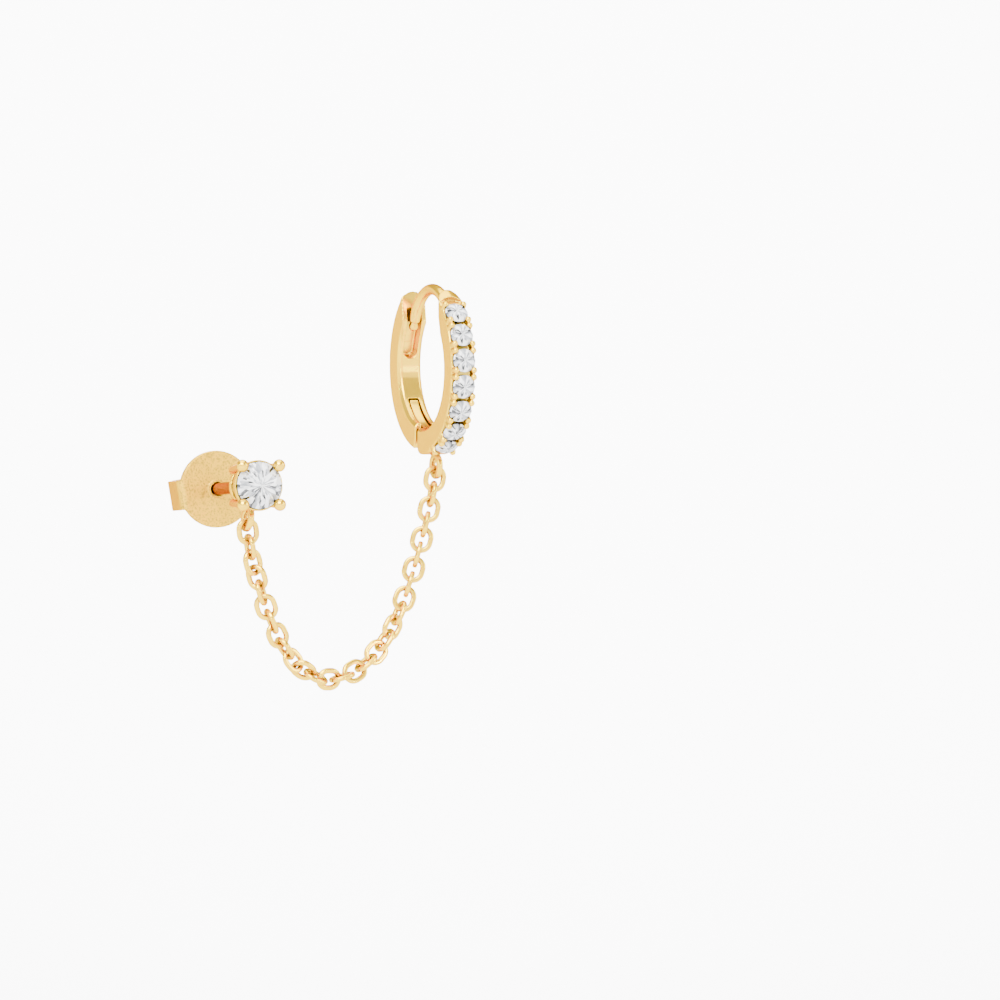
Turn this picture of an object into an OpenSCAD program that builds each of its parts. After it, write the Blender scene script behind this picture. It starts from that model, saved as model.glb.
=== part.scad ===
// Ear chain earring: a hinged hoop with a row of small stones, a chain and a stone stud with its nut.
// Millimetres. +Z is up, the front faces -Y, and the stud hangs on the -X side of the hoop.
// The origin is the middle of the ear wire at its highest point, where the hoop hangs in the ear.

/* [Hoop] */
// Outside diameter of the hoop
hoop_d = 10.9; // [10.6:0.1:12]
// Thickness of the hoop's wall from its inside to its outside
hoop_wall = 1.65; // [1.5:0.05:1.8]
// Chamfer along the inside edges of the hoop
hoop_edge = 0.2; // [0.05:0.05:0.3]
// Distance of the front half's top end in front of the hoop's middle
front_end = 3.2; // [3:0.05:3.4]
// Distance of the back half's end face behind the hoop's middle
back_end = 2.8; // [2.7:0.05:2.9]
// Lean of the back half's end face away from upright
back_end_lean = 10.5; // [8:0.5:14]
// How far the back half's arc sits behind the front half's
back_shift = 0.13; // [0:0.01:0.2]
// How far the back half's arc sits above the front half's
back_lift = 0.22; // [0:0.01:0.3]
// Rise of the front half's top end over the hoop's outside
end_rise = 0.18; // [0.1:0.01:0.3]

/* [Stone row] */
// Number of stones on the front half
pave_count = 7; // [7:1:8]
// Gap between neighbouring stones of the row
pave_gap = 0.16; // [0.12:0.01:0.2]
// Height angle of the topmost stone above the hoop's middle
pave_top_angle = 41; // [40:0.5:42]
// Height angle of the lowest stone
pave_end_angle = -63.2; // [-64:0.1:-62]
// Width of the metal beside a stone
pave_rim = 0.06; // [0.05:0.01:0.12]
// Depth of the stones' bed under the hoop's outside
bed_depth = 0.17; // [0.1:0.01:0.25]
// Height of the stones' girdle over the hoop's outside
girdle_rise = 0.05; // [0:0.01:0.1]
// Diameter of a bead that holds the stones
bead_d = 0.42; // [0.34:0.02:0.44]
// Height of a bead's top over the stones' girdle
bead_rise = 0.32; // [0.28:0.01:0.36]

/* [Hinge] */
// Diameter of the hinge pin
pin_d = 0.6; // [0.4:0.05:0.7]
// Depth of the pin's axis under the hoop's outside
pin_depth = 0.72; // [0.65:0.01:0.8]
// Angle of the pin round the hoop, from the front downwards
pin_angle = 111.5; // [108:0.5:114]
// Metal left over each end of the pin
pin_cover = 0.12; // [0.1:0.01:0.2]
// Width of the tongue that the pin passes through
tongue_w = 0.6; // [0.4:0.05:0.7]
// Thickness of the tongue's spring end
tongue_t = 0.5; // [0.3:0.05:0.6]
// Angle of the tongue's spring end, from the front downwards
tongue_angle = 148; // [140:1:152]
// Gap between the two halves where they part at the bottom
parting_gap = 0.4; // [0.2:0.05:0.5]

/* [Ear wire] */
// Diameter of the ear wire
wire_d = 0.73; // [0.6:0.01:0.8]
// Depth of the ear wire's middle under the hoop's outside
wire_sink = 0.37; // [0.3:0.01:0.42]
// Bend radius of the ear wire
wire_bend_r = 3.45; // [3.3:0.05:3.6]
// Angle of the ear wire's neck, from the front over the top
wire_end_angle = 156; // [150:1:160]

/* [Stud] */
// Diameter of the stud's stone
stud_d = 3; // [2.6:0.1:3.2]
// Distance from the hoop to the stud, along X
stud_reach = 13.49; // [12:0.01:16]
// Distance of the stone's girdle in front of the hoop's axis
stud_front = 4.6; // [4:0.1:5]
// Depth of the stone's middle under the ear wire's top
stud_drop = 12.27; // [11:0.01:14]
// Droop of the stud's post towards its back end
stud_droop = 3; // [0:0.1:5]
// Diameter of a prong's shaft
prong_d = 0.5; // [0.4:0.05:0.6]
// Diameter of a prong's ball tip
prong_ball_d = 0.8; // [0.7:0.02:0.84]
// Distance from the stone's girdle to the back of the setting
setting_depth = 2.1; // [1.9:0.05:2.6]
// Outside radius of the setting at its back
setting_back_r = 1.3; // [1.2:0.05:1.4]
// Diameter of the ear post
post_d = 0.78; // [0.7:0.01:0.9]
// Length of the ear post behind the setting
post_l = 9; // [8.5:0.1:11]

/* [Nut] */
// Distance between the setting's back and the nut's disc
lobe_gap = 5.6; // [4.8:0.01:5.8]
// Diameter of the nut's disc
nut_d = 4.9; // [4.4:0.1:5.2]
// Thickness of the nut's disc
nut_t = 0.35; // [0.3:0.05:0.5]
// Width of each scroll arm
arm_w = 1.9; // [1.4:0.1:2.2]
// Thickness of the scroll arms' sheet
arm_t = 0.3; // [0.2:0.05:0.35]
// Depth of the nut from its disc's face to the scrolls' backs
nut_depth = 2.8; // [2.6:0.05:3]
// Turn of the nut about the post
nut_turn = 9; // [0:1:20]

/* [Chain] */
// Number of links
link_count = 29; // [29:2:31]
// Inside width of a link
link_in_w = 0.78; // [0.74:0.01:0.8]
// Width of the link's flat wire
link_wire_w = 0.34; // [0.3:0.01:0.35]
// Thickness of the link's flat wire
link_wire_t = 0.31; // [0.28:0.01:0.32]
// Free play between two links
link_play = 0.075; // [0.06:0.005:0.09]
// Depth of the chain's lowest point under the hoop's eye
chain_drop = 13.12; // [12:0.01:14]
// Outside diameter of the two soldered eyes that hold the chain
eye_d = 1.66; // [1.6:0.02:1.8]
// Width and thickness of the eyes' wire
eye_wire = 0.39; // [0.36:0.01:0.4]

/* [Hidden] */
$fn = 72;
// Room that each cut leaves past the metal it goes through
over = 1;

// Gaps of the fits
stone_gap = 0.03;
pin_gap = 0.03;
slot_gap = 0.06;
catch_gap = 0.1;
nut_gap = 0.04;
bead_gap = 0.02;
// How deep soldered pieces reach into each other
solder = 0.08;

// Hoop, in its own plane: radii about the hoop's middle
outer_r = hoop_d / 2;
inner_r = outer_r - hoop_wall;
bed_r = outer_r - bed_depth;
girdle_r = outer_r + girdle_rise;
outer_edge = hoop_edge / 2;
bed_edge = hoop_edge / 4;
// How far the thick ends' outside falls from its middle to its sides
crown_drop = 0.3;
crown_steps = 3;
thick_r = outer_r + end_rise;
// The angles that the halves' bands reach before their end faces are cut
front_low_angle = -100;
front_top_angle = 80;
over_angle = 105;
back_low_angle = 265;
back_at = [-back_shift, back_lift];
// The angle where the back half starts to thicken, and how far its thick arc's middle moves over
flare_angle = 158;
flare_shift = 3;

// Stone row: the angle from one stone to the next, the stones' diameter, the hoop's width that holds
// them, and where the thick ends start
pave_pitch = (pave_top_angle - pave_end_angle) / (pave_count - 1);
pave_d = 2 * girdle_r * sin(pave_pitch / 2) - pave_gap;
hoop_w = pave_d + 2 * pave_rim;
end_round_r = hoop_w / 2 + solder / 20;
end_clear = asin((pave_d / 2 + bead_d / 2) / girdle_r);
shoulder_angle = pave_top_angle + end_clear;
lip_angle = pave_end_angle - end_clear;
// Radius, about the topmost stone, of the hollow that parts its beads from the thick end
cap_hollow_r = (pave_d + bead_d) / 2 + bead_d;

// Beads: four to a stone, each half over the stone's edge
bead_r = girdle_r + bead_rise - bead_d / 2;
bead_reach = pave_d / 2 + bead_d / 4;
bead_angle = pave_pitch / 2 - asin((bead_d + bead_gap) / 2 / girdle_r);
bead_side = sqrt(pow(bead_reach, 2) - pow(girdle_r * sin(bead_angle), 2));

// Hinge: the pin's place, and the planes where the halves part
pin_r = outer_r - pin_depth;
pin_at = [pin_r * cos(pin_angle), -pin_r * sin(pin_angle)];
cheek_rise = 0.02;
cheek_r = pin_depth + cheek_rise;
back_face_x = pin_at[0] + cheek_r;
front_face_x = back_face_x + parting_gap;
front_face_cut = 0.3;
knuckle_r = pin_depth - slot_gap;
pocket_r = knuckle_r + slot_gap;
pin_l = hoop_w - 2 * pin_cover - 2 * pin_gap;
slot_over_angle = 2;
slot_top = inner_r * 0.8;

// Ear wire: the middle of its bend, in the hoop's plane
wire_rise = outer_r - wire_sink;
wire_at = [0, wire_rise - wire_bend_r];
wire_root_angle = 34;
wire_room_r = wire_bend_r - wire_d / 8;
wire_neck_d = wire_d * 0.68;
wire_neck_l = wire_d * 0.28;
wire_tip_d = wire_d * 0.86;
catch_w = wire_d + 2 * catch_gap;
catch_skin = 0.7;
catch_floor_r = outer_r - catch_skin;
catch_low_angle = 164;

// Stud: distances back from the stone's girdle
seat_back = stud_d * 0.14;
seat_r = stud_d * 0.535;
prong_front_r = stud_d / 2 + prong_ball_d * 0.3;
prong_front_z = -stud_d * 0.1;
prong_back_r = setting_back_r + prong_d * 0.3;
base_t = 0.35;
post_tip = post_d * 0.3;
disc_z = setting_depth + lobe_gap;

// Nut: bend and scroll of its arms
collar_wall = 0.12;
collar_r = post_d / 2 + nut_gap + collar_wall;
collar_h = 0.15;
arm_out = 0.05;
arm_x = nut_d / 2 + arm_out;
arm_bend_r = arm_t * 1.5;
scroll_r = (arm_x - post_d / 2 - nut_gap) / 2;
scroll_z = nut_depth - scroll_r;
scroll_tail = scroll_r * 0.45;

// Eyes: one under the hoop, one under the setting
eye_in_r = eye_d / 2 - eye_wire;
eye_sink = 0.12;
eye_hang = eye_in_r - eye_sink;
eye_clear = 0.38;
hoop_eye_r = outer_r + eye_d / 2 - solder;
hoop_eye_angle = -lip_angle + asin((eye_d / 2 + eye_clear) / hoop_eye_r);
stud_eye_z = setting_depth - base_t / 2;
stud_eye_lean = 9;

// Chain: the two places where it hangs, in the part's frame
stud_at = [-stud_reach, -stud_front, -stud_drop];
hoop_hang = [
    0,
    -hoop_eye_r * cos(hoop_eye_angle),
    -wire_rise - hoop_eye_r * sin(hoop_eye_angle) - eye_hang
];
stud_hang_down = setting_back_r - solder + (eye_d / 2 + eye_hang) * cos(stud_eye_lean);
stud_hang = stud_at + [
    -(eye_d / 2 + eye_hang) * sin(stud_eye_lean),
    stud_eye_z * cos(stud_droop) - stud_hang_down * sin(stud_droop),
    -stud_eye_z * sin(stud_droop) - stud_hang_down * cos(stud_droop)
];
span = norm([stud_hang[0] - hoop_hang[0], stud_hang[1] - hoop_hang[1]]);
span_heading = atan2(stud_hang[1] - hoop_hang[1], stud_hang[0] - hoop_hang[0]);

// The chain's route between its ends. Columns: share of the span, share of the chain's drop.
chain_route = [
    [0.03, 0.153],
    [0.069, 0.304],
    [0.113, 0.454],
    [0.163, 0.602],
    [0.227, 0.743],
    [0.315, 0.869],
    [0.432, 0.963],
    [0.575, 1],
    [0.712, 0.946],
    [0.811, 0.831],
    [0.88, 0.692],
    [0.933, 0.545],
    [0.976, 0.396]
];
// Turn of each link about its own length, from the flat view of the chain
link_turns = [
    -14, 78, -6, 86, 0, 90, 0, 90, -2, 70,
    142, 62, -12, 74, 0, 84, -12, 72, 146, 220,
    294, 202, 282, 186, 256, 328, 40, 110, 18
];
face_turn = 30;
route_steps = 16;

// A point between p1 and p2 on the smooth curve through p0, p1, p2 and p3
function smooth_point(p0, p1, p2, p3, t) =
    0.5 * (2 * p1 + (p2 - p0) * t + (2 * p0 - 5 * p1 + 4 * p2 - p3) * t * t
    + (3 * p1 - p0 - 3 * p2 + p3) * t * t * t);
function last(list) = list[len(list) - 1];

route = concat(
    [[0, hoop_hang[2]]],
    [for (p = chain_route) [p[0] * span, hoop_hang[2] - p[1] * chain_drop]],
    [[span, stud_hang[2]]]
);
route_held = concat(
    [2 * route[0] - route[1]],
    route,
    [2 * last(route) - route[len(route) - 2]]
);
route_fine = concat(
    [
        for (i = [0 : len(route) - 2], k = [0 : route_steps - 1])
            smooth_point(
                route_held[i], route_held[i + 1], route_held[i + 2], route_held[i + 3],
                k / route_steps
            )
    ],
    [last(route)]
);
steps = [for (i = [1 : len(route_fine) - 1]) norm(route_fine[i] - route_fine[i - 1])];
function length_to(i, sum = 0, k = 0) = k == i ? sum : length_to(i, sum + steps[k], k + 1);
run = [for (i = [0 : len(route_fine) - 1]) length_to(i)];
chain_l = last(run);
// Inside length of a link, so that the links fill the route
link_in_l = chain_l / link_count + link_play;
function route_at(s) = [
    lookup(s, [for (i = [0 : len(run) - 1]) [run[i], route_fine[i][0]]]),
    lookup(s, [for (i = [0 : len(run) - 1]) [run[i], route_fine[i][1]]])
];
// The places where neighbouring links meet
meets = [for (i = [0 : link_count]) route_at(chain_l * i / link_count)];

function two_digits(i) = str(i < 10 ? "0" : "", i);
function stone_name(i) = str("pave_stone_", i + 1);
function link_name(i) = str("link_", two_digits(i + 1));

// Placing in the hoop's plane: local x points to the front, local y up, local z along -X
module hoop_plane() {
    translate([0, 0, -wire_rise]) rotate([90, 0, -90]) children();
}

// Placing on the stud: local z runs back along the post, local x along X, local y down
module stud_axis() {
    translate(stud_at) rotate([-90 - stud_droop, 0, 0]) children();
}

// A rectangle across the wire of a band, with its corners cut off
module band_section(r_in, r_out, w, cut_in, cut_out) {
    polygon([
        [r_in, -w / 2 + cut_in],
        [r_in + cut_in, -w / 2],
        [r_out - cut_out, -w / 2],
        [r_out, -w / 2 + cut_out],
        [r_out, w / 2 - cut_out],
        [r_out - cut_out, w / 2],
        [r_in + cut_in, w / 2],
        [r_in, w / 2 - cut_in]
    ]);
}

// A stretch of band between two angles about the z axis
module band(r_in, r_out, w, from, to, cut_in, cut_out) {
    rotate_extrude(angle = to - from, start = from) band_section(r_in, r_out, w, cut_in, cut_out);
}

// A stretch of band whose outside is crowned across the wire
module crowned_band(r_in, r_out, w, from, to) {
    rotate_extrude(angle = to - from, start = from)
        polygon(concat(
            [[r_in, w / 2], [r_in, -w / 2]],
            [
                for (i = [-crown_steps : crown_steps])
                    [r_out - crown_drop * pow(i / crown_steps, 2), w / 2 * i / crown_steps]
            ]
        ));
}

// A round soldered eye about the z axis
module eye() {
    rotate_extrude() band_section(eye_in_r, eye_d / 2, eye_wire, eye_wire / 5, eye_wire / 5);
}

// Stones: the sizes of a round brilliant cut as shares of its diameter, table up, girdle at z = 0
table_share = 0.29;
star_share = 0.385;
crown_share = 0.15;
girdle_share = 0.015;
pavilion_share = 0.43;
low_share = 0.12;

// Height of a facet plane that runs from a ring at one height to the axis side
function plane_z(r, r_edge, z_edge, r_top, z_top) =
    z_edge + (z_top - z_edge) * (r_edge - r) / (r_edge - r_top);
function ring(r, z, count, turn) =
    [for (i = [0 : count - 1]) [r * cos(turn + i * 360 / count), r * sin(turn + i * 360 / count), z]];

module brilliant(d) {
    half = d / 2;
    sides = 8;
    half_turn = 180 / sides;
    girdle_z = girdle_share * d;
    crown_z = girdle_z + crown_share * d;
    culet_z = -girdle_z - pavilion_share * d;
    star_z = plane_z(star_share * d * cos(half_turn), half, girdle_z, table_share * d, crown_z);
    low_z = plane_z(low_share * d * cos(half_turn), half, -girdle_z, 0, culet_z);
    points = concat(
        ring(table_share * d, crown_z, sides, 0),
        ring(star_share * d, star_z, sides, half_turn),
        ring(half, girdle_z, 2 * sides, 0),
        ring(half, -girdle_z, 2 * sides, 0),
        ring(low_share * d, low_z, sides, half_turn),
        [[0, 0, culet_z]]
    );
    star_at = sides;
    top_at = 2 * sides;
    under_at = 4 * sides;
    low_at = 6 * sides;
    culet_at = 7 * sides;
    wide = 2 * sides;
    faces = concat(
        [[for (i = [sides - 1 : -1 : 0]) i]],
        [for (i = [0 : sides - 1]) [i, (i + 1) % sides, star_at + i]],
        [
            for (i = [0 : sides - 1])
                [i, star_at + i, top_at + 2 * i, star_at + (i + sides - 1) % sides]
        ],
        [for (i = [0 : sides - 1]) [star_at + i, top_at + 2 * i + 1, top_at + 2 * i]],
        [
            for (i = [0 : sides - 1])
                [star_at + i, top_at + (2 * i + 2) % wide, top_at + 2 * i + 1]
        ],
        [
            for (i = [0 : wide - 1])
                [top_at + i, top_at + (i + 1) % wide, under_at + (i + 1) % wide, under_at + i]
        ],
        [for (i = [0 : sides - 1]) [low_at + i, under_at + 2 * i, under_at + 2 * i + 1]],
        [
            for (i = [0 : sides - 1])
                [low_at + i, under_at + 2 * i + 1, under_at + (2 * i + 2) % wide]
        ],
        [
            for (i = [0 : sides - 1])
                [culet_at, low_at + (i + sides - 1) % sides, under_at + 2 * i, low_at + i]
        ]
    );
    polyhedron(points, faces, convexity = 2);
}

// The room that a seated stone takes in the metal, with its gap all round
module stone_room(d) {
    half = d / 2 + stone_gap;
    girdle_z = girdle_share * d + stone_gap;
    crown_z = crown_share * d;
    pavilion_z = pavilion_share * d;
    rotate_extrude() polygon([
        [0, girdle_z + crown_z + over],
        [table_share * d + stone_gap, girdle_z + crown_z + over],
        [table_share * d + stone_gap, girdle_z + crown_z],
        [half, girdle_z],
        [half, -girdle_z],
        [0, -girdle_z - pavilion_z]
    ]);
}

module on_row(i) {
    rotate([0, 0, pave_top_angle - i * pave_pitch])
        translate([girdle_r, 0, 0])
        rotate([0, 90, 0])
        children();
}

module row_beads() {
    stalk = bead_r - bed_r + bead_d / 4;
    for (i = [0 : pave_count - 1], turn = [-1, 1], side = [-1, 1])
        rotate([0, 0, pave_top_angle - i * pave_pitch + turn * bead_angle])
            translate([bead_r, 0, side * bead_side]) {
                sphere(d = bead_d);
                rotate([0, -90, 0]) cylinder(d = bead_d, h = stalk);
            }
}

module hinge_tongue() {
    band(inner_r, inner_r + tongue_t, tongue_w, -tongue_angle, -90, 0, 0);
    band(inner_r, outer_r - slot_gap, tongue_w, -pin_angle, -90, 0, 0);
    translate(pin_at) cylinder(r = knuckle_r, h = tongue_w, center = true);
}

module ear_wire() {
    translate(wire_at) {
        rotate_extrude(angle = wire_end_angle - wire_root_angle, start = wire_root_angle)
            translate([wire_bend_r, 0]) circle(d = wire_d);
        rotate([0, 0, wire_end_angle]) translate([wire_bend_r, 0, 0]) rotate([-90, 0, 0]) {
            translate([0, 0, -over / 4]) cylinder(d = wire_neck_d, h = wire_neck_l + over / 4);
            translate([0, 0, wire_neck_l + wire_tip_d / 4]) sphere(d = wire_tip_d);
        }
    }
}

// What the front half's top end leaves free: all behind its round end
module front_end_room() {
    difference() {
        translate([front_end - hoop_d, 0, -hoop_w]) cube([hoop_d, hoop_d, 2 * hoop_w]);
        translate([front_end, 0, 0]) rotate([-90, 0, 0]) cylinder(r = end_round_r, h = 2 * hoop_d);
    }
}

// The parting plane at the bottom, with its outside corner cut off
module front_face_room() {
    translate([front_face_x - hoop_d, -hoop_d, -hoop_w]) cube([hoop_d, hoop_d, 2 * hoop_w]);
    translate([front_face_x + front_face_cut, -outer_r, -hoop_w])
        rotate([0, 0, 135])
        cube([hoop_wall, hoop_wall, 2 * hoop_w]);
}

module front_metal() {
    difference() {
        union() {
            band(inner_r, bed_r, hoop_w, front_low_angle, front_top_angle, hoop_edge, bed_edge);
            difference() {
                crowned_band(inner_r + hoop_edge, thick_r, hoop_w, shoulder_angle, front_top_angle);
                on_row(0) cylinder(r = cap_hollow_r, h = 2 * hoop_wall, center = true);
            }
            band(inner_r, outer_r, hoop_w, front_low_angle, lip_angle, hoop_edge, outer_edge);
            row_beads();
        }
        for (i = [0 : pave_count - 1]) on_row(i) stone_room(pave_d);
        translate(wire_at) cylinder(r = wire_room_r, h = 2 * hoop_w, center = true);
        front_end_room();
        front_face_room();
    }
}

module hoop_front() {
    color("gold") hoop_plane() {
        difference() {
            union() {
                front_metal();
                hinge_tongue();
                ear_wire();
                rotate([0, 0, -hoop_eye_angle]) translate([hoop_eye_r, 0, 0]) eye();
            }
            translate(pin_at) cylinder(d = pin_d + 2 * pin_gap, h = tongue_w + over, center = true);
        }
    }
}

// What the tongue, its knuckle and their swing need in the back half
module tongue_slot() {
    slot_w = tongue_w + 2 * slot_gap;
    slot_r = inner_r + tongue_t + 2 * slot_gap;
    band(inner_r - over, slot_r, slot_w, -tongue_angle - slot_over_angle, -90, 0, 0);
    translate([pin_at[0] - pocket_r, -hoop_d, -slot_w / 2])
        cube([hoop_d / 2, hoop_d - slot_top, slot_w]);
}

// What the ear wire's end needs in the back half
module wire_catch() {
    intersection() {
        translate(wire_at)
            cylinder(r = wire_bend_r + wire_d / 2 + catch_gap, h = catch_w, center = true);
        translate([-hoop_d, 0, -hoop_w]) cube([hoop_d, hoop_d, 2 * hoop_w]);
    }
    band(inner_r - over, catch_floor_r, catch_w, over_angle, catch_low_angle, 0, 0);
    rotate([0, 0, catch_low_angle]) rotate([0, 90, 0]) cylinder(d = catch_w, h = catch_floor_r);
}

// The plane ends of the back half: its lean end face at the top, its rounded cheeks at the bottom
module back_ends() {
    translate([-back_end, wire_at[1]])
        rotate([0, 0, back_end_lean])
        translate([0, 0, -hoop_w])
        cube([hoop_d, hoop_d, 2 * hoop_w]);
    translate([back_face_x, -hoop_d, -hoop_w]) cube([hoop_d, hoop_d, 2 * hoop_w]);
    difference() {
        translate([pin_at[0], pin_at[1] - hoop_d, -hoop_w]) cube([hoop_d, hoop_d, 2 * hoop_w]);
        translate(pin_at) cylinder(r = cheek_r, h = 3 * hoop_w, center = true);
    }
}

// The back half's arc, and the thicker arc that grows out of it towards the top end
module back_arc() {
    flare_r = outer_r + flare_shift - solder / 8;
    band(inner_r, outer_r, hoop_w, over_angle, back_low_angle, hoop_edge, outer_edge);
    translate(-flare_shift * [cos(flare_angle), sin(flare_angle)])
        crowned_band(flare_r - hoop_wall / 2, flare_r, hoop_w, over_angle, flare_angle);
}

module hoop_back() {
    color("gold") hoop_plane() difference() {
        translate(back_at) back_arc();
        translate(wire_at) cylinder(r = wire_room_r, h = 2 * hoop_w, center = true);
        back_ends();
        tongue_slot();
        wire_catch();
        translate(pin_at)
            cylinder(d = pin_d + 2 * pin_gap, h = hoop_w - 2 * pin_cover, center = true);
    }
}

module hinge_pin() {
    color("goldenrod") hoop_plane() translate(pin_at) cylinder(d = pin_d, h = pin_l, center = true);
}

module pave_stone(i) {
    color("white") hoop_plane() on_row(i) brilliant(pave_d);
}

module prong() {
    lean = atan2(prong_front_r - prong_back_r, setting_depth - prong_front_z);
    shaft_l = (setting_depth - prong_front_z) / cos(lean);
    translate([prong_front_r, 0, prong_front_z]) {
        sphere(d = prong_ball_d);
        rotate([0, -lean, 0]) cylinder(d = prong_d, h = shaft_l);
    }
}

module setting_metal() {
    for (i = [0 : 3]) rotate([0, 0, 45 + 90 * i]) prong();
    rotate_extrude() translate([seat_r * 0.8, seat_back * 0.2]) square([seat_r * 0.2, seat_back]);
    translate([0, 0, setting_depth - base_t]) cylinder(r = setting_back_r, h = base_t);
}

module stud_setting() {
    color("gold") stud_axis() {
        difference() {
            setting_metal();
            rotate([180, 0, 0]) stone_room(stud_d);
        }
        translate([0, 0, setting_depth - solder]) cylinder(d = post_d, h = post_l + solder - post_tip);
        translate([0, 0, setting_depth + post_l - post_tip])
            cylinder(d1 = post_d, d2 = post_d - 2 * post_tip, h = post_tip);
        translate([0, setting_back_r - solder, stud_eye_z])
            rotate([0, 0, stud_eye_lean])
            translate([0, eye_d / 2, 0])
            rotate([0, 90, 0])
            eye();
    }
}

module stud_stone() {
    color("white") stud_axis() rotate([180, 0, 0]) brilliant(stud_d);
}

// One scroll arm: it bends back at the disc's edge and curls in to the post. Local y runs back.
module scroll_arm() {
    translate([arm_x - arm_bend_r, arm_bend_r, 0])
        band(arm_bend_r - arm_t, arm_bend_r, arm_w, -90, 0, 0, 0);
    translate([arm_x - arm_t, arm_bend_r, -arm_w / 2]) cube([arm_t, scroll_z - arm_bend_r, arm_w]);
    translate([arm_x - scroll_r, scroll_z, 0]) band(scroll_r - arm_t, scroll_r, arm_w, 0, 180, 0, 0);
    translate([arm_x - 2 * scroll_r, scroll_z - scroll_tail, -arm_w / 2])
        cube([arm_t, scroll_tail, arm_w]);
}

module ear_nut() {
    flat_x = arm_x - arm_bend_r;
    color("goldenrod") stud_axis() translate([0, 0, disc_z]) rotate([0, 0, -nut_turn]) {
        difference() {
            union() {
                difference() {
                    cylinder(d = nut_d, h = nut_t);
                    for (side = [0, 180]) rotate([0, 0, side])
                        translate([flat_x, -arm_w / 2, -over]) cube([nut_d, arm_w, 2 * over]);
                }
                translate([0, 0, -collar_h]) cylinder(r = collar_r, h = collar_h + nut_t);
                for (side = [0, 180]) rotate([0, 0, side]) rotate([90, 0, 0]) scroll_arm();
            }
            translate([0, 0, -over]) cylinder(d = post_d + 2 * nut_gap, h = 2 * over);
        }
    }
}

// A link with its length along z and its flat face along y
module link() {
    section_r = link_in_w / 2;
    straight = link_in_l - link_in_w;
    cut = link_wire_t / 4;
    rotate([90, 0, 0]) for (end = [0, 180]) rotate([0, 0, end]) {
        translate([0, straight / 2, 0])
            band(section_r, section_r + link_wire_w, link_wire_t, 0, 180, cut, cut);
        translate([0, straight / 2, 0])
            rotate([90, 0, 0])
            linear_extrude(straight)
            band_section(section_r, section_r + link_wire_w, link_wire_t, cut, cut);
    }
}

module chain_link(i) {
    from = meets[i];
    to = meets[i + 1];
    mid = (from + to) / 2;
    tilt = atan2(to[0] - from[0], to[1] - from[1]);
    color("gold")
        translate([hoop_hang[0], hoop_hang[1], 0])
        rotate([0, 0, span_heading])
        translate([mid[0], 0, mid[1]])
        rotate([0, tilt, 0])
        rotate([0, 0, link_turns[i % len(link_turns)] - face_turn * cos(tilt)])
        link();
}

hoop_front();
hoop_back();
hinge_pin();
stud_setting();
stud_stone();
ear_nut();
for (i = [0 : pave_count - 1]) {
    pave_stone(i);
}
for (i = [0 : link_count - 1]) {
    chain_link(i);
}
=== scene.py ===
"""Dresses the ear chain earring: a hinged hoop with its row of stones, a chain, and a stud with its nut.

The CAD frame gives every solid its place. The metal is recast from the solids with soft, poured edges, the
stones keep their cut, and each material is procedural on Object coordinates. The gold's colour holds
painted shade and dark reflections, and the stones' colour holds painted reflections.
"""

import logging
import math
from dataclasses import dataclass
from enum import Enum
from typing import Any, Sequence

import bmesh
import bpy
from mathutils import Matrix, Vector


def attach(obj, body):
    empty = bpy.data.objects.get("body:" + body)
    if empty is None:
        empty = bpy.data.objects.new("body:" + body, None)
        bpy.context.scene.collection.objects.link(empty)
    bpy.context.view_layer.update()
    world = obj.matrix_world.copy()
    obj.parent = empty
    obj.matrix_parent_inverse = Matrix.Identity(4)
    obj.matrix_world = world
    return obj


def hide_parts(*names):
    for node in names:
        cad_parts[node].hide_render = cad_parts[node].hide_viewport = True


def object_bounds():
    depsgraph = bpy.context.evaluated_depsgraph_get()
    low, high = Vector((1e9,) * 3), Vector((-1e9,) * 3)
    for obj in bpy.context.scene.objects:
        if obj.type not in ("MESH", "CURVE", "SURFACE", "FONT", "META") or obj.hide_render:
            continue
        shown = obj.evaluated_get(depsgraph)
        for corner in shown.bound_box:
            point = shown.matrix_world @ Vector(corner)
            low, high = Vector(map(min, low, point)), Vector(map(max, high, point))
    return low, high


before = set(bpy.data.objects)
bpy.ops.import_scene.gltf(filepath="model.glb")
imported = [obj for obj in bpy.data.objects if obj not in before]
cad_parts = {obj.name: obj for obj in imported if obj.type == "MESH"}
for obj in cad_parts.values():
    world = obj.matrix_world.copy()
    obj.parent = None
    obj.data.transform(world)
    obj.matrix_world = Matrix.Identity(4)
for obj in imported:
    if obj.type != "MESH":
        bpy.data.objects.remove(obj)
cad_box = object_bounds()

log = logging.getLogger("earring")
MM = 0.001
Colour = tuple[float, float, float]
Place = tuple[float, float, float]


class Body(Enum):
    """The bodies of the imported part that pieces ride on."""

    FRONT = "front"
    BACK = "back"
    NUT = "nut"


class Slot(Enum):
    """The record's material slots, by name."""

    GOLD = "gold"
    NUT_GOLD = "nut_gold"


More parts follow.
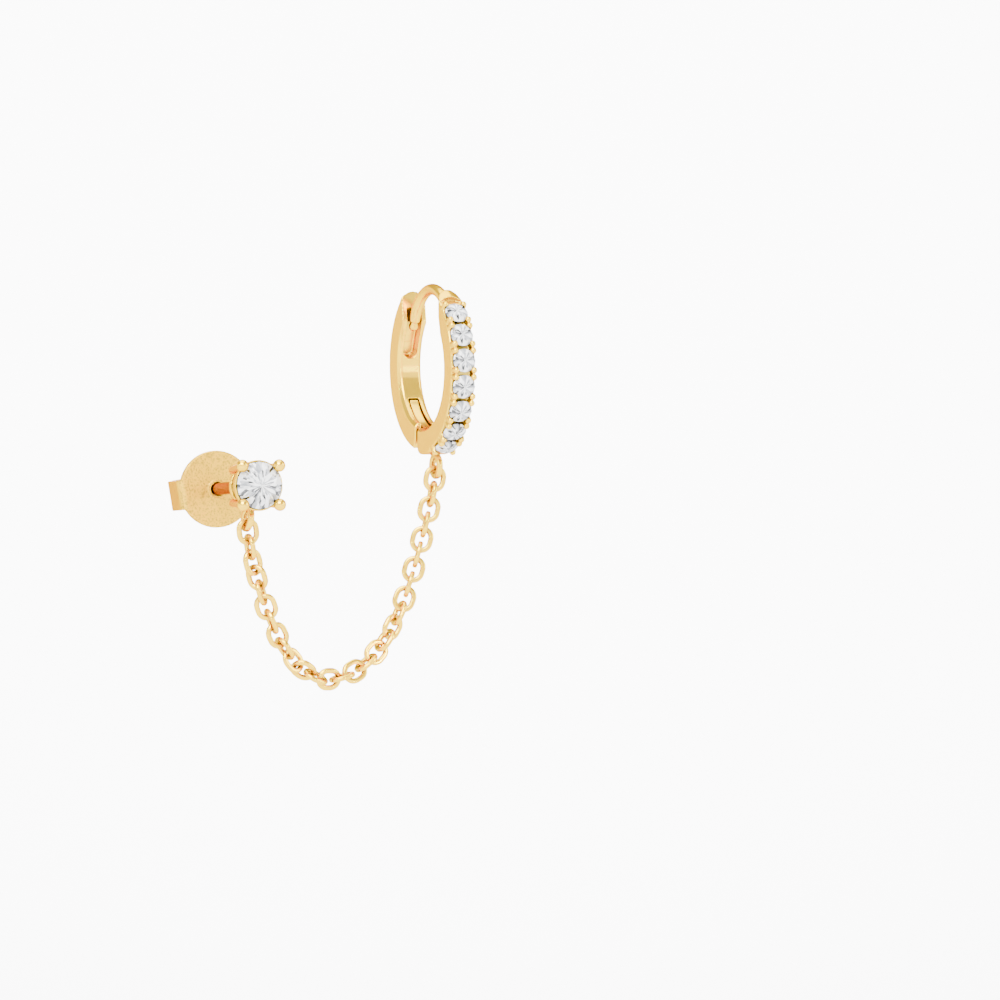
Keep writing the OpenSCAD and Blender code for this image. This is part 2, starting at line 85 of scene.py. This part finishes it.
class Sum:
    """A value socket in a material. Arithmetic on it adds Math nodes."""

    def __init__(self, look: "Look", socket: bpy.types.NodeSocket) -> None:
        """Keep the material that the socket is in, and the socket."""
        self.look = look
        self.socket = socket

    def __add__(self, other: Any) -> "Sum":
        """Self plus other."""
        return self.look.calculate("ADD", self, other)

    __radd__ = __add__

    def __sub__(self, other: Any) -> "Sum":
        """Self minus other."""
        return self.look.calculate("SUBTRACT", self, other)

    def __rsub__(self, other: Any) -> "Sum":
        """Other minus self."""
        return self.look.calculate("SUBTRACT", other, self)

    def __mul__(self, other: Any) -> "Sum":
        """Self times other."""
        return self.look.calculate("MULTIPLY", self, other)

    __rmul__ = __mul__

    def rise(self, low: float, high: float) -> "Sum":
        """Smooth step of self.

        Args:
            low: The value that gives 0.
            high: The value that gives 1.

        Returns:
            A sum between 0 and 1.
        """
        limits = {"From Min": low, "From Max": high, "To Min": 0.0, "To Max": 1.0}
        node = self.look.node(
            "ShaderNodeMapRange", {"interpolation_type": "SMOOTHSTEP"}, {"Value": self, **limits}
        )
        return Sum(self.look, node.outputs["Result"])


class Look:
    """A node material under construction."""

    def __init__(self, name: str) -> None:
        """Start an empty material of that name."""
        self.material = bpy.data.materials.new(name)
        self.material.use_nodes = True
        self.tree = self.material.node_tree
        self.tree.nodes.clear()

    def node(self, kind: str, settings: dict[str, Any], sockets: dict[Any, Any]) -> bpy.types.Node:
        """Add a node, its settings first and then its sockets.

        Args:
            kind: The node's type.
            settings: Properties by name.
            sockets: Values, sums or sockets, by the input's name or number.

        Returns:
            The new node.
        """
        node = self.tree.nodes.new(kind)
        for key, value in settings.items():
            setattr(node, key, value)
        for key, value in sockets.items():
            link = value.socket if isinstance(value, Sum) else value
            if isinstance(link, bpy.types.NodeSocket):
                self.tree.links.new(link, node.inputs[key])
            else:
                node.inputs[key].default_value = value
        return node

    def calculate(self, operation: str, *terms: Any) -> Sum:
        """Add one Math node.

        Args:
            operation: The node's operation.
            terms: Its inputs in order, numbers or sums.

        Returns:
            The node's result.
        """
        node = self.node("ShaderNodeMath", {"operation": operation}, dict(enumerate(terms)))
        return Sum(self, node.outputs[0])

    def vector(
        self, operation: str, first: bpy.types.NodeSocket, second: Sequence[float]
    ) -> bpy.types.Node:
        """Add one Vector Math node.

        Args:
            operation: The node's operation.
            first: A vector's socket.
            second: A fixed vector.

        Returns:
            The node, which has a Vector and a Value output.
        """
        return self.node("ShaderNodeVectorMath", {"operation": operation}, {0: first, 1: tuple(second)})

    def place(self) -> bpy.types.NodeSocket:
        """The Object coordinates."""
        return self.node("ShaderNodeTexCoord", {}, {}).outputs["Object"]

    def along(self, axis: Vector, start: bpy.types.NodeSocket | None = None) -> Sum:
        """Distance along an axis, in metres.

        Args:
            axis: The unit axis.
            start: The vector that is measured, or none for the Object coordinates.

        Returns:
            The distance of the shaded point.
        """
        measured = self.place() if start is None else start
        return Sum(self, self.vector("DOT_PRODUCT", measured, axis).outputs["Value"])

    def noise(self, scale: float, detail: float = 2.0) -> Sum:
        """Noise on Object coordinates.

        Args:
            scale: Waves to a metre.
            detail: Octaves.

        Returns:
            A sum around 0.5.
        """
        sockets = {"Vector": self.place(), "Scale": scale, "Detail": detail}
        return Sum(self, self.node("ShaderNodeTexNoise", {}, sockets).outputs["Fac"])

    def edges(self) -> Sum:
        """How far the surface is an edge, over 0.5, or a hollow, under it."""
        return Sum(self, self.node("ShaderNodeNewGeometry", {}, {}).outputs["Pointiness"])

    def shut_in(self, reach: float) -> Sum:
        """How much of a point's outlook the piece and its neighbours take.

        Args:
            reach: How far the point looks, in metres.

        Returns:
            A sum, 0 in the open and towards 1 in a narrow gap.
        """
        node = self.node("ShaderNodeAmbientOcclusion", {"samples": 6}, {"Distance": reach})
        return 1.0 - Sum(self, node.outputs["AO"])

    def blend(self, share: Sum, first: Any, second: Any) -> bpy.types.NodeSocket:
        """Mix two colours.

        Args:
            share: How much of the second one.
            first: A colour or a colour socket.
            second: A colour or a colour socket.

        Returns:
            The mixed colour's socket.
        """
        ends = [c if isinstance(c, bpy.types.NodeSocket) else (*c, 1.0) for c in (first, second)]
        sockets = {"Factor": share, 6: ends[0], 7: ends[1]}
        return self.node("ShaderNodeMix", {"data_type": "RGBA"}, sockets).outputs[2]

    def bump(self, height: Sum, strength: float, depth: float) -> bpy.types.NodeSocket:
        """A normal from a height.

        Args:
            height: The height, 0 to 1.
            strength: Share of the effect.
            depth: Metres that 1 stands for.

        Returns:
            The normal's socket.
        """
        sockets = {"Strength": strength, "Distance": depth, "Height": height}
        return self.node("ShaderNodeBump", {}, sockets).outputs["Normal"]

    def principled(self, sockets: dict[str, Any]) -> bpy.types.Material:
        """Close the material with its shader.

        Args:
            sockets: What goes into the shader, by the input's name.

        Returns:
            The material.
        """
        node = self.node("ShaderNodeBsdfPrincipled", {}, sockets)
        self.node("ShaderNodeOutputMaterial", {}, {"Surface": node.outputs[0]})
        return self.material

    def metal(
        self, colour: bpy.types.NodeSocket, roughness: Sum, grazing: Colour, normal: bpy.types.NodeSocket
    ) -> bpy.types.Material:
        """Close the material as a bare metal.

        Args:
            colour: What it reflects from the front.
            roughness: Its roughness.
            grazing: Tint of what it reflects at a glancing angle.
            normal: Its normal.

        Returns:
            The material.
        """
        return self.principled(
            {
                "Base Color": colour,
                "Metallic": 1.0,
                "Roughness": roughness,
                "Specular Tint": (*grazing, 1.0),
                "Normal": normal,
            }
        )


@dataclass(frozen=True)
class Band:
    """The stretch over which a value comes to count, and how much it counts then."""

    low: float
    high: float
    share: float = 1.0

    def above(self, value: Sum) -> Sum:
        """How much a value counts that has to be high."""
        return value.rise(self.low, self.high) * self.share

    def below(self, value: Sum) -> Sum:
        """How much a value counts that has to be low."""
        return (1.0 - value.rise(self.low, self.high)) * self.share


@dataclass(frozen=True)
class Span:
    """A stretch of space along an axis through the origin, in metres, with soft ends."""

    axis: Vector
    start: float
    end: float
    soft: float

    def mask(self, look: Look) -> Sum:
        """Tell how much a point is in the stretch.

        Args:
            look: The material under construction.

        Returns:
            A sum, 1 inside and 0 outside.
        """
        way = look.along(self.axis)
        after = way.rise(self.start, self.start + self.soft)
        return after * (1.0 - way.rise(self.end - self.soft, self.end))


@dataclass(frozen=True)
class PolishedGold:
    """Polished gold plate: warm, painted shade in gaps and creases, the faint cloud of hand polishing."""

    name: str
    roughness: float
    reach: float = 0.0006
    shaded: Span | None = None
    lit: Colour = (0.97, 0.60, 0.02)
    # deep, rim and shade are painted shade: in gaps, in creases and over the span.
    deep: Colour = (0.42, 0.30, 0.05)
    rim: Colour = (0.20, 0.11, 0.01)
    shade: Colour = (0.36, 0.22, 0.03)
    grazing: Colour = (0.65, 0.33, 0.03)
    gap: Band = Band(0.12, 0.7)
    crease_shade: Band = Band(0.42, 0.475, 0.6)
    cloud_scale: float = 900.0
    cloud: Band = Band(0.3, 0.8, 0.06)
    marks_scale: float = 9000.0
    marks_detail: float = 3.0
    marks_strength: float = 0.05
    marks_depth: float = 0.00001

    def material(self) -> bpy.types.Material:
        """Build the material."""
        look = Look(self.name)
        # Painted shade in gaps that the piece and its neighbours shut in.
        colour = look.blend(self.gap.above(look.shut_in(self.reach)), self.lit, self.deep)
        # Painted shade in creases, in the rim colour.
        colour = look.blend(self.crease_shade.below(look.edges()), colour, self.rim)
        # Painted shade over the span, such as the stud's post under its setting.
        if self.shaded:
            colour = look.blend(self.shaded.mask(look), colour, self.shade)
        roughness = self.cloud.above(look.noise(self.cloud_scale)) + self.roughness
        marks = look.noise(self.marks_scale, self.marks_detail)
        normal = look.bump(marks, self.marks_strength, self.marks_depth)
        return look.metal(colour, roughness, self.grazing, normal)


@dataclass(frozen=True)
class BlastedGold:
    """The nut's plate: sand-blasted on the front of its disc, polished on its arms."""

    front: Span
    name: str = "blasted_gold"
    lit: Colour = (0.84, 0.49, 0.015)
    # deep: painted shade in gaps, painted dark reflections on edges, and the darker tone of the blasted
    # grain.
    deep: Colour = (0.36, 0.23, 0.02)
    grazing: Colour = (0.65, 0.33, 0.03)
    reach: float = 0.0015
    gap: Band = Band(0.1, 0.7)
    edge: Band = Band(0.53, 0.60, 0.6)
    grain_scale: float = 8000.0
    grain_detail: float = 3.0
    grain: Band = Band(0.45, 0.68, 0.8)
    grain_strength: float = 0.8
    grain_depth: float = 0.00004
    polished: float = 0.16
    blasted: float = 0.3

    def material(self) -> bpy.types.Material:
        """Build the material."""
        look = Look(self.name)
        blast = self.front.mask(look)
        grain = look.noise(self.grain_scale, self.grain_detail)
        # Painted shade in gaps.
        colour = look.blend(self.gap.above(look.shut_in(self.reach)), self.lit, self.deep)
        # Painted dark reflections on convex edges.
        colour = look.blend(self.edge.above(look.edges()), colour, self.deep)
        colour = look.blend(blast * self.grain.above(grain), colour, self.deep)
        roughness = blast * self.blasted + self.polished
        normal = look.bump(grain * blast, self.grain_strength, self.grain_depth)
        return look.metal(colour, roughness, self.grazing, normal)


@dataclass(frozen=True)
class CutStone:
    """Clear white cut stone.

    Each facet has its own painted brightness, and painted reflections run out from the middle in shards of
    light and shade, standing for the facets underneath as they show through the top.
    """

    name: str
    middle: Vector
    axis: Vector
    diameter: float
    shards: float = 44.0
    rings: float = 3.6
    # light is the stone's white and its painted sparkle; grey and dark are painted reflections.
    light: Colour = (1.0, 1.0, 1.0)
    grey: Colour = (0.22, 0.235, 0.26)
    dark: Colour = (0.006, 0.007, 0.009)
    refraction: float = 1.8
    clear: float = 0.2
    seeds: tuple[float, float] = (0.3, 7.6)
    facet_step: float = 0.02
    grey_facets: Band = Band(0.3, 1.0, 0.25)
    soft_shards: Band = Band(0.55, 0.70, 0.8)
    crisp_shards: Band = Band(0.66, 0.72, 0.7)
    dark_shards: Band = Band(0.70, 0.75)
    bright_shards: Band = Band(0.80, 0.84)

    def polar(self, look: Look, seed: float) -> bpy.types.NodeSocket:
        """Place on the stone as turn, radius and a seed.

        Args:
            look: The material under construction.
            seed: The third coordinate.

        Returns:
            A vector socket, one unit to a shard and to a ring.
        """
        start = look.vector("SUBTRACT", look.place(), self.middle).outputs["Vector"]
        side = self.axis.orthogonal().normalized()
        across = look.along(side, start)
        along = look.along(self.axis.cross(side), start)
        turn = look.calculate("ARCTAN2", across, along) * (self.shards / math.tau)
        radius = look.calculate("SQRT", across * across + along * along)
        ring = radius * (2 * self.rings / self.diameter)
        return look.node("ShaderNodeCombineXYZ", {}, {0: turn, 1: ring, 2: seed}).outputs[0]

    def shards_of(self, look: Look, seed: float) -> tuple[Sum, Sum]:
        """Two chance values for each shard.

        Args:
            look: The material under construction.
            seed: Which set of shards.

        Returns:
            Two sums between 0 and 1, even over each shard.
        """
        sockets = {"Vector": self.polar(look, seed), "Scale": 1.0, "Randomness": 1.0}
        cells = look.node("ShaderNodeTexVoronoi", {"feature": "F1"}, sockets)
        chance = look.node("ShaderNodeSeparateColor", {}, {0: cells.outputs["Color"]})
        return Sum(look, chance.outputs[0]), Sum(look, chance.outputs[1])

    def facets(self, look: Look) -> Sum:
        """A chance value for each facet, from the way that it faces."""
        facing = look.node("ShaderNodeTexCoord", {}, {}).outputs["Normal"]
        step = look.vector("SNAP", facing, (self.facet_step,) * 3).outputs["Vector"]
        pick = look.node("ShaderNodeTexWhiteNoise", {"noise_dimensions": "3D"}, {"Vector": step})
        return Sum(look, pick.outputs["Value"])

    def material(self) -> bpy.types.Material:
        """Build the material."""
        look = Look(self.name)
        # The colour is painted reflections: shards and facets of painted light and shade over the stone's
        # white.
        (soft, dark), (crisp, bright) = (self.shards_of(look, seed) for seed in self.seeds)
        colour = look.blend(self.soft_shards.above(soft), self.light, self.grey)
        colour = look.blend(self.grey_facets.above(self.facets(look)), colour, self.grey)
        colour = look.blend(self.crisp_shards.above(crisp), colour, self.grey)
        colour = look.blend(self.dark_shards.above(dark), colour, self.dark)
        colour = look.blend(self.bright_shards.above(bright), colour, self.light)
        return look.principled(
            {
                "Base Color": colour,
                "Metallic": 0.0,
                "Roughness": 0.0,
                "IOR": self.refraction,
                "Transmission Weight": self.clear,
            }
        )


@dataclass(frozen=True)
class PaleFloor:
    """The studio's plain pale floor."""

    name: str = "pale_floor"
    pale: Colour = (0.9, 0.9, 0.9)
    dull: Colour = (0.85, 0.85, 0.85)
    cloud_scale: float = 3.0
    cloud: float = 0.1
    roughness: float = 0.9

    def material(self) -> bpy.types.Material:
        """Build the material."""
        look = Look(self.name)
        colour = look.blend(look.noise(self.cloud_scale) * self.cloud, self.pale, self.dull)
        return look.principled({"Base Color": colour, "Roughness": self.roughness})


def dress(piece: bpy.types.Object, material: bpy.types.Material) -> None:
    """Give a piece or a CAD node its only material.

    Args:
        piece: The object.
        material: What it wears.
    """
    if piece.material_slots:
        for slot in piece.material_slots:
            slot.material = material
    else:
        piece.data.materials.append(material)
    log.info("%s: dressed in %s", piece.name, material.name)


@dataclass(frozen=True)
class Recast:
    """Metal made again from a CAD solid, with the soft edges of a polished casting. Lengths are in mm."""

    voxel: float
    weld: float = 0.0005
    rounds: int = 3
    factor: float = 0.5

    def merged(self, node: str) -> bmesh.types.BMesh:
        """Copy a CAD node into a mesh without loose corners.

        Args:
            node: The CAD node's name.

        Returns:
            Its merged copy, in millimetres.
        """
        shape = bmesh.new()
        shape.from_mesh(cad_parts[node].data)
        bmesh.ops.scale(shape, vec=Vector((1 / MM,) * 3), verts=shape.verts)
        bmesh.ops.remove_doubles(shape, verts=shape.verts, dist=self.weld)
        return shape

    def cast(self, name: str, shape: bmesh.types.BMesh) -> bpy.types.Object:
        """Fuse a shape into one skin and soften it.

        Args:
            name: The piece's name.
            shape: Closed shells, in millimetres. It is freed.

        Returns:
            The finished object, in metres.
        """
        mesh = bpy.data.meshes.new(name)
        shape.to_mesh(mesh)
        shape.free()
        piece = bpy.data.objects.new(name, mesh)
        bpy.context.scene.collection.objects.link(piece)
        skin = piece.modifiers.new("skin", "REMESH")
        skin.mode = "VOXEL"
        skin.voxel_size = self.voxel
        solved = piece.evaluated_get(bpy.context.evaluated_depsgraph_get())
        fused = bpy.data.meshes.new_from_object(solved)
        piece.modifiers.clear()
        shape = bmesh.new()
        shape.from_mesh(fused)
        axes = {"use_axis_x": True, "use_axis_y": True, "use_axis_z": True}
        for _ in range(self.rounds):
            bmesh.ops.smooth_vert(shape, verts=shape.verts, factor=self.factor, **axes)
        bmesh.ops.scale(shape, vec=Vector((MM,) * 3), verts=shape.verts)
        for face in shape.faces:
            face.smooth = True
        shape.to_mesh(mesh)
        shape.free()
        bpy.data.meshes.remove(fused)
        log.info("%s: %d faces", name, len(mesh.polygons))
        return piece

    def replace(self, node: str, body: Body, slot: Slot, material: bpy.types.Material) -> None:
        """Let a casting stand for a CAD node.

        Args:
            node: The CAD node's name.
            body: The body that the casting rides on.
            slot: The record's material slot for it. Not used.
            material: What it wears.
        """
        piece = self.cast(f"{node}_cast", self.merged(node))
        dress(piece, material)
        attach(piece, body.value)
        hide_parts(node)


@dataclass(frozen=True)
class PostLine:
    """The line of the stud's post, from the stud's stone backwards. Lengths are in mm."""

    droop: float = math.radians(3.0)
    start: Place = (-13.49, -4.6, -12.27)

    def axis(self) -> Vector:
        """The line's direction, backwards."""
        return Vector((0.0, math.cos(self.droop), -math.sin(self.droop)))

    def span(self, first: float, last: float, soft: float) -> Span:
        """A stretch of space along the line.

        Args:
            first: Where it starts.
            last: Where it ends.
            soft: How long each of its ends takes to fade.

        Returns:
            The stretch, in metres.
        """
        base = self.axis().dot(Vector(self.start))
        return Span(self.axis(), (base + first) * MM, (base + last) * MM, soft * MM)


@dataclass
class HingedHoop:
    """The hoop's two halves and the pin of their hinge."""

    gold: bpy.types.Material
    recast: Recast = Recast(0.045)

    def build(self) -> None:
        """Cast both halves and dress the pin."""
        for node, body in (("hoop_front", Body.FRONT), ("hoop_back", Body.BACK)):
            self.recast.replace(node, body, Slot.GOLD, self.gold)
        dress(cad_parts["hinge_pin"], self.gold)


@dataclass
class Chain:
    """The links between the two soldered eyes."""

    gold: bpy.types.Material
    recast: Recast = Recast(0.03)

    def build(self) -> None:
        """Cast every link."""
        for node in sorted(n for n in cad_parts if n.startswith("link_")):
            self.recast.replace(node, Body.FRONT, Slot.GOLD, self.gold)


@dataclass
class Stud:
    """The four-claw setting with its post, which stands in the setting's shade. Lengths are in mm."""

    post: PostLine
    shade_from: float = 2.9
    shade_to: float = 14.0
    shade_soft: float = 0.3
    recast: Recast = Recast(0.04)

    def build(self) -> None:
        """Cast the setting."""
        # Painted shade: the post's stretch of the gold takes the shade colour.
        shaded = self.post.span(self.shade_from, self.shade_to, self.shade_soft)
        gold = PolishedGold("stud_gold", roughness=0.12, shaded=shaded).material()
        self.recast.replace("stud_setting", Body.FRONT, Slot.GOLD, gold)


@dataclass
class EarNut:
    """The butterfly nut with its disc. Lengths are in mm."""

    post: PostLine
    disc_at: float = 7.7
    blast_before: float = 2.0
    blast_behind: float = 0.35
    blast_soft: float = 0.25
    recast: Recast = Recast(0.045)

    def build(self) -> None:
        """Cast the nut, blasted in front and polished behind."""
        first, last = self.disc_at - self.blast_before, self.disc_at + self.blast_behind
        gold = BlastedGold(self.post.span(first, last, self.blast_soft)).material()
        self.recast.replace("ear_nut", Body.NUT, Slot.NUT_GOLD, gold)


@dataclass
class Stones:
    """All cut stones. They keep the facets of their solids. Lengths are in mm and angles in degrees."""

    post: PostLine
    row_radius: float = 5.5
    row_top: float = 41.0
    row_end: float = -63.2
    row_count: int = 7
    row_diameter: float = 1.5
    row_shards: float = 24.0
    row_rings: float = 2.6
    hoop_drop: float = 5.08
    stud_diameter: float = 3.0

    def cut(self, node: str, middle: Vector, axis: Vector, diameter: float, **pattern: float) -> None:
        """Dress one stone.

        Args:
            node: The stone's CAD node.
            middle: The middle of its girdle.
            axis: The way that its table faces.
            diameter: Its diameter.
            pattern: The painted reflections' shards and rings, where they aren't the usual ones.
        """
        # The stone's colour holds painted reflections.
        stone_with_painted_reflections = CutStone(f"{node}_cut", middle * MM, axis, diameter * MM, **pattern)
        dress(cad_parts[node], stone_with_painted_reflections.material())

    def build(self) -> None:
        """Dress every stone of the row and the stud's."""
        for i in range(self.row_count):
            share = i / (self.row_count - 1)
            turn = math.radians(self.row_top + (self.row_end - self.row_top) * share)
            axis = Vector((0.0, -math.cos(turn), math.sin(turn)))
            middle = axis * self.row_radius - Vector((0.0, 0.0, self.hoop_drop))
            pattern = {"shards": self.row_shards, "rings": self.row_rings}
            self.cut(f"pave_stone_{i + 1}", middle, axis, self.row_diameter, **pattern)
        self.cut("stud_stone", Vector(self.post.start), -self.post.axis(), self.stud_diameter)


@dataclass(frozen=True)
class Lamp:
    """A soft light: its place from the part's middle and its size in metres, and its power in watts."""

    name: str
    place: Place
    size: tuple[float, float]
    power: float


@dataclass
class Camera:
    """The camera where the photograph was taken from. Lengths are in mm."""

    azimuth: float = math.radians(-22)
    elevation: float = math.radians(1.5)
    distance: float = 600.0
    view_width: float = 63.69
    sensor: float = 36.0
    hoop_centre: Place = (0.0, 0.0, -5.08)
    aim_right: float = 4.299
    aim_down: float = 8.344
    nearest: float = 10.0
    farthest: float = 20000.0

    def axes(self) -> tuple[Vector, Vector, Vector]:
        """The camera's right, up and back directions."""
        turn, rise = self.azimuth, self.elevation
        right = Vector((math.cos(turn), math.sin(turn), 0.0))
        level = math.cos(rise)
        back = Vector((math.sin(turn) * level, -math.cos(turn) * level, math.sin(rise)))
        return right, back.cross(right), back

    def build(self) -> None:
        """Place the camera."""
        right, up, back = self.axes()
        target = Vector(self.hoop_centre) + right * self.aim_right - up * self.aim_down
        lens = bpy.data.cameras.new("camera")
        lens.sensor_width = self.sensor
        lens.lens = self.sensor * self.distance / self.view_width
        lens.clip_start, lens.clip_end = self.nearest * MM, self.farthest * MM
        camera = bpy.data.objects.new("camera", lens)
        turn = Matrix((right, up, back)).transposed().to_4x4()
        camera.matrix_world = Matrix.Translation((target + back * self.distance) * MM) @ turn
        bpy.context.scene.collection.objects.link(camera)
        bpy.context.scene.camera = camera


@dataclass
class Floor:
    """A round pale floor whose rim sweeps up far behind every view. Lengths are in mm."""

    drop: float = 90.0
    radius: float = 950.0
    sweep: float = 220.0
    sweep_steps: int = 12
    rim_height: float = 420.0
    sides: int = 96
    hub: float = 0.001
    weld: float = 0.1

    def profile(self) -> list[tuple[float, float]]:
        """The radius and the height of each point from the hub to the rim's top."""
        low = cad_box[0][2] / MM - self.drop
        flat = self.radius - self.sweep
        path = [(self.hub, low), (flat, low)]
        for i in range(1, self.sweep_steps + 1):
            turn = math.pi / 2 * i / self.sweep_steps
            path.append((flat + self.sweep * math.sin(turn), low + self.sweep * (1 - math.cos(turn))))
        return [*path, (self.radius, low + self.rim_height)]

    def build(self) -> None:
        """Spin the profile into the floor."""
        shape = bmesh.new()
        verts = [shape.verts.new((radius * MM, 0.0, height * MM)) for radius, height in self.profile()]
        edges = [shape.edges.new(pair) for pair in zip(verts, verts[1:])]
        round_up = {"cent": (0, 0, 0), "axis": (0, 0, 1), "angle": math.tau, "use_merge": True}
        bmesh.ops.spin(shape, geom=verts + edges, steps=self.sides, **round_up)
        bmesh.ops.remove_doubles(shape, verts=shape.verts, dist=self.weld * MM)
        for face in shape.faces:
            face.smooth = True
        mesh = bpy.data.meshes.new("floor")
        shape.to_mesh(mesh)
        shape.free()
        sheet = bpy.data.objects.new("floor", mesh)
        bpy.context.scene.collection.objects.link(sheet)
        dress(sheet, PaleFloor().material())


@dataclass
class Lights:
    """The even room, the soft lights round the part, and the light on the wall behind. Metres and watts."""

    back: Vector
    middle: Place = (-0.0077, 0.0, -0.0125)
    room_grey: float = 1.0
    room_strength: float = 1.2
    lamps: tuple[Lamp, ...] = (
        Lamp("key", (-0.35, -0.5, 0.55), (0.65, 0.5), 20.0),
        Lamp("fill", (0.6, -0.35, 0.25), (0.2, 0.4), 3.0),
        Lamp("top", (0.0, 0.1, 0.8), (0.8, 0.8), 12.0),
    )
    glints: tuple[Place, ...] = (
        (-0.5, -0.6, 0.15),
        (-0.1, -0.65, 0.45),
        (0.35, -0.7, 0.1),
        (-0.2, -0.75, -0.12),
        (-0.75, -0.1, 0.3),
    )
    glint_size: float = 0.03
    glint_power: float = 0.35
    wall_power: float = 170.0
    wall_cone: float = math.radians(60)
    wall_softness: float = 0.05
    wall_behind: float = 0.35
    wall_above: float = 0.45
    wall_aim: float = 0.95

    def hang(self, data: bpy.types.Light, spot: Vector, back: Vector) -> None:
        """Hang a light.

        Args:
            data: The light.
            spot: Where it hangs.
            back: The way that its back faces.
        """
        holder = bpy.data.objects.new(data.name, data)
        turn = back.to_track_quat("Z", "Y").to_matrix().to_4x4()
        holder.matrix_world = Matrix.Translation(spot) @ turn
        bpy.context.scene.collection.objects.link(holder)

    def soft(self, lamp: Lamp) -> None:
        """Hang one soft light that looks at the part."""
        data = bpy.data.lights.new(lamp.name, "AREA")
        data.shape = "RECTANGLE"
        data.size, data.size_y = lamp.size
        data.energy = lamp.power
        self.hang(data, Vector(self.middle) + Vector(lamp.place), Vector(lamp.place))

    def wall(self) -> None:
        """Light the wall behind the part, as a photographer does for a white ground."""
        data = bpy.data.lights.new("wall", "SPOT")
        data.energy = self.wall_power
        data.spot_size = self.wall_cone
        data.spot_blend = 1.0
        data.shadow_soft_size = self.wall_softness
        spot = -self.back * self.wall_behind + Vector((0.0, 0.0, self.wall_above))
        self.hang(data, spot, spot + self.back * self.wall_aim)

    def room(self) -> None:
        """Fill the room with an even light."""
        world = bpy.data.worlds.new("room")
        bpy.context.scene.world = world
        world.use_nodes = True
        node = next(n for n in world.node_tree.nodes if n.type == "BACKGROUND")
        node.inputs["Color"].default_value = (*(self.room_grey,) * 3, 1.0)
        node.inputs["Strength"].default_value = self.room_strength

    def build(self) -> None:
        """Light the room, the part and the wall."""
        self.room()
        for lamp in self.lamps:
            self.soft(lamp)
        for i, place in enumerate(self.glints):
            self.soft(Lamp(f"glint_{i}", place, (self.glint_size, self.glint_size), self.glint_power))
        self.wall()


def main() -> None:
    """Build the studio and every piece in order."""
    logging.basicConfig(level=logging.INFO, format="%(name)s: %(message)s")
    camera = Camera()
    camera.build()
    Floor().build()
    Lights(camera.axes()[2]).build()
    post = PostLine()
    HingedHoop(PolishedGold("hoop_gold", roughness=0.21).material()).build()
    Chain(PolishedGold("chain_gold", roughness=0.12, reach=0.0005).material()).build()
    Stud(post).build()
    EarNut(post).build()
    Stones(post).build()


if __name__ == "__main__":
    main()
